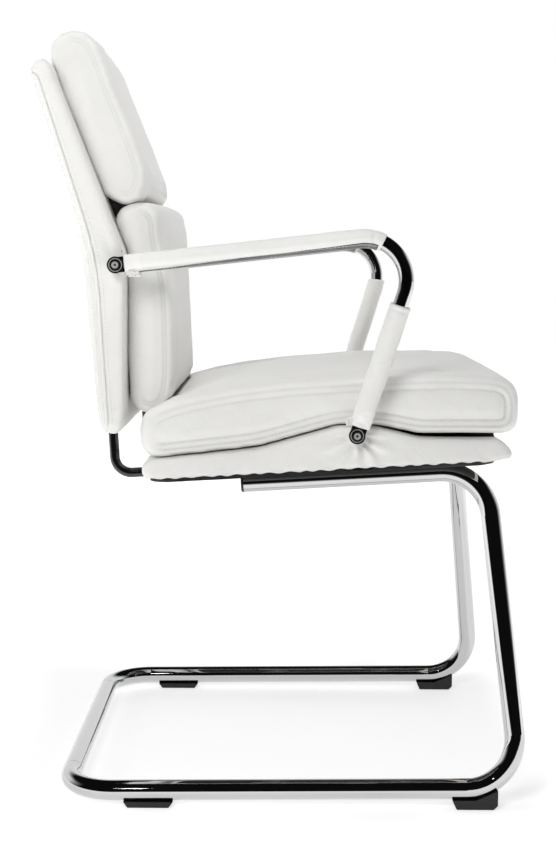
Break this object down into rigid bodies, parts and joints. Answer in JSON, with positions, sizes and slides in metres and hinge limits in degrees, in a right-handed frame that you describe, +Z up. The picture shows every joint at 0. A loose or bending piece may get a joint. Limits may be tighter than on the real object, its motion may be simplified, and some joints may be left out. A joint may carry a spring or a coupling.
{
  "type": "visitor chair",
  "caption": "Visitor chair with white padded seat and back on a sprung chromed tube frame, and bent tube arms in leather sleeves.",
  "frame": {"origin": "on the floor, under the middle of the chair's bounding box", "axes": "+Z up, -Y the way the chair faces, +X the sitter's left"},
  "size_m": [0.5676, 0.5908, 0.9367],
  "materials": {
    "chrome_tube": "bright polished chrome plate",
    "arm_chrome": "bright polished chrome plate on the arm tubes",
    "zinc_steel": "zinc plated steel of hidden brackets and fixings",
    "arm_bolt_steel": "turned steel heads of the arm bolts, darker in the socket",
    "black_coated_steel": "gloss black powder coat",
    "white_leather": "smooth white upholstery leather with a soft sheen",
    "sleeve_leather": "white leather drawn tight over the arm tubes",
    "black_fabric": "matt black lining fabric and felt",
    "plywood": "bare birch plywood inside the padding",
    "black_plastic": "matt black moulded plastic"
  },
  "bodies": {
    "root": {"side_frame_left": "chrome_tube", "side_frame_right": "chrome_tube", "rear_cross_tube": "chrome_tube", "arm_tube_left": "arm_chrome", "arm_tube_right": "arm_chrome", "seat_bolts": "zinc_steel", "seat_bolt_washers": "zinc_steel", "seat_t_nuts": "zinc_steel", "foot_screws": "zinc_steel", "joint_spigots": "zinc_steel", "link_screws": "zinc_steel", "bracket_screws": "zinc_steel", "arm_spacers": "zinc_steel", "seat_arm_bracket_left": "zinc_steel", "seat_arm_bracket_right": "zinc_steel", "back_arm_bracket_left": "zinc_steel", "back_arm_bracket_right": "zinc_steel", "arm_bolts": "arm_bolt_steel", "front_cross_bar": "black_coated_steel", "rear_cross_bar": "black_coated_steel", "link_rod_left": "black_coated_steel", "link_rod_right": "black_coated_steel", "seat_shell": "white_leather", "back_shell": "white_leather", "back_rear_panel": "white_leather", "seat_cushion": "white_leather", "lumbar_cushion": "white_leather", "head_cushion": "white_leather", "arm_upper_sleeves": "sleeve_leather", "arm_lower_sleeves": "sleeve_leather", "underside_cover": "black_fabric", "seat_felt": "black_fabric", "back_lining": "black_fabric", "seat_board": "plywood", "back_board": "plywood", "rear_feet": "black_plastic", "front_feet": "black_plastic", "rail_end_caps": "black_plastic", "arm_washers": "black_plastic"}
  },
  "joints": []
}
